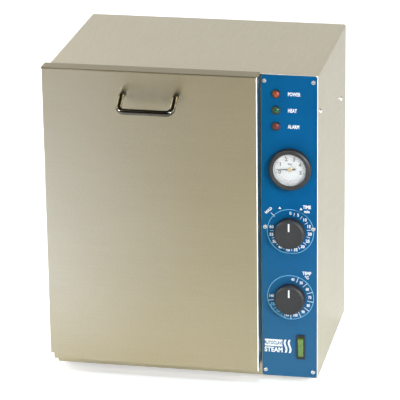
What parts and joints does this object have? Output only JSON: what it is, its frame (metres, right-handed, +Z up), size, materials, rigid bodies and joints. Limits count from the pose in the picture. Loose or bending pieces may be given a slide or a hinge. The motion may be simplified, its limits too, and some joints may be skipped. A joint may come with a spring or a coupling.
{
  "type": "benchtop autoclave",
  "caption": "Benchtop autoclave: brushed steel case, round pressure chamber behind a drop-down door, and a control column with gauge, two knobs, lamps and a rocker switch.",
  "frame": {"origin": "middle of the bounding box, at the level of the bench under the feet", "axes": "+Z up; the door and the controls face -Y; +X is to the user's right, where the control column is"},
  "size_m": [0.3696, 0.334, 0.4405],
  "materials": {
    "panel_blue": "satin screen-printed blue enamel",
    "cover_steel": "brushed stainless sheet",
    "door_steel": "brushed stainless sheet, horizontal grain",
    "inner_steel": "mill-finish stainless sheet",
    "polished_steel": "polished stainless",
    "chrome": "bright chrome plate",
    "zinc": "zinc plated",
    "black_plastic": "moulded black plastic",
    "grey_plastic": "moulded grey plastic",
    "rubber": "black rubber",
    "silicone": "moulded silicone seal",
    "brass": "machined brass",
    "copper_pipe": "drawn copper tube",
    "wool": "glass wool",
    "dial_white": "white enamel dial",
    "glass": "clear glass",
    "lamp_amber": "translucent orange-red lens",
    "lamp_green": "translucent green lens",
    "lamp_red": "translucent red lens",
    "switch_green": "translucent green rocker"
  },
  "bodies": {
    "case": {"base_pan": "inner_steel", "outer_cover": "cover_steel", "rear_panel": "inner_steel", "front_frame": "cover_steel", "control_panel": "panel_blue", "panel_screws": "zinc", "case_screws": "zinc", "rubber_feet": "rubber", "lamp_bezels": "chrome", "heating_lamp_lens": "lamp_amber", "ready_lamp_lens": "lamp_green", "fault_lamp_lens": "lamp_red", "gauge_case": "black_plastic", "gauge_lens": "glass", "gauge_dial": "dial_white", "gauge_movement": "brass", "timer_body": "grey_plastic", "thermostat_body": "grey_plastic", "rocker_housing": "black_plastic", "chamber_vessel": "polished_steel", "chamber_flange": "inner_steel", "flange_bolts": "zinc", "band_heater": "zinc", "insulation_jacket": "wool", "chamber_cradle": "inner_steel", "tray_lower": "polished_steel", "tray_middle": "polished_steel", "tray_upper": "polished_steel", "tray_rack": "polished_steel", "exhaust_pipe": "copper_pipe", "steam_valve": "brass", "exhaust_fitting": "brass", "safety_valve": "brass", "overheat_cutout": "grey_plastic", "gauge_pipe": "copper_pipe", "thermostat_capillary": "copper_pipe", "heater_relay": "grey_plastic", "mains_inlet": "black_plastic", "fuse_holders": "black_plastic", "hinge_brackets": "inner_steel", "hinge_pins": "zinc", "lock_solenoid": "zinc"},
    "door": {"door_skin": "door_steel", "door_liner": "inner_steel", "door_beam": "inner_steel", "pressure_plate": "polished_steel", "plate_nut": "zinc", "door_gasket": "silicone", "door_insulation": "wool", "door_handle": "chrome", "handle_screws": "zinc", "hinge_blocks": "zinc", "lock_strike": "zinc"},
    "timer": {"timer_knob": "black_plastic", "timer_shaft": "zinc"},
    "thermostat": {"temperature_knob": "black_plastic", "temperature_shaft": "zinc"},
    "power_switch": {"power_rocker": "switch_green"},
    "needle": {"gauge_needle": "black_plastic"},
    "lock": {"lock_bolt": "polished_steel"}
  },
  "joints": [
    {"name": "door_hinge", "type": "hinge", "parent": "case", "child": "door", "pos_m": [-0.039, -0.123, 0.038], "axis": [1, 0, 0], "range_deg": [0, 90]},
    {"name": "timer_turn", "type": "hinge", "parent": "case", "child": "timer", "pos_m": [0.14675, -0.115, 0.2195], "axis": [0, 1, 0], "range_deg": [0, 282]},
    {"name": "thermostat_turn", "type": "hinge", "parent": "case", "child": "thermostat", "pos_m": [0.14675, -0.115, 0.125], "axis": [0, 1, 0], "range_deg": [0, 275]},
    {"name": "power_rocker_tilt", "type": "hinge", "parent": "case", "child": "power_switch", "pos_m": [0.16075, -0.102, 0.0535], "axis": [-1, 0, 0], "range_deg": [0, 14]},
    {"name": "needle_turn", "type": "hinge", "parent": "case", "child": "needle", "pos_m": [0.14675, -0.11, 0.3085], "axis": [0, 1, 0], "range_deg": [0, 200], "stiffness_Nm_per_rad": 0.0005},
    {"name": "lock_slide", "type": "slide", "parent": "case", "child": "lock", "axis": [0, -1, 0], "range_m": [0, 0.009], "stiffness_N_per_m": 40}
  ]
}
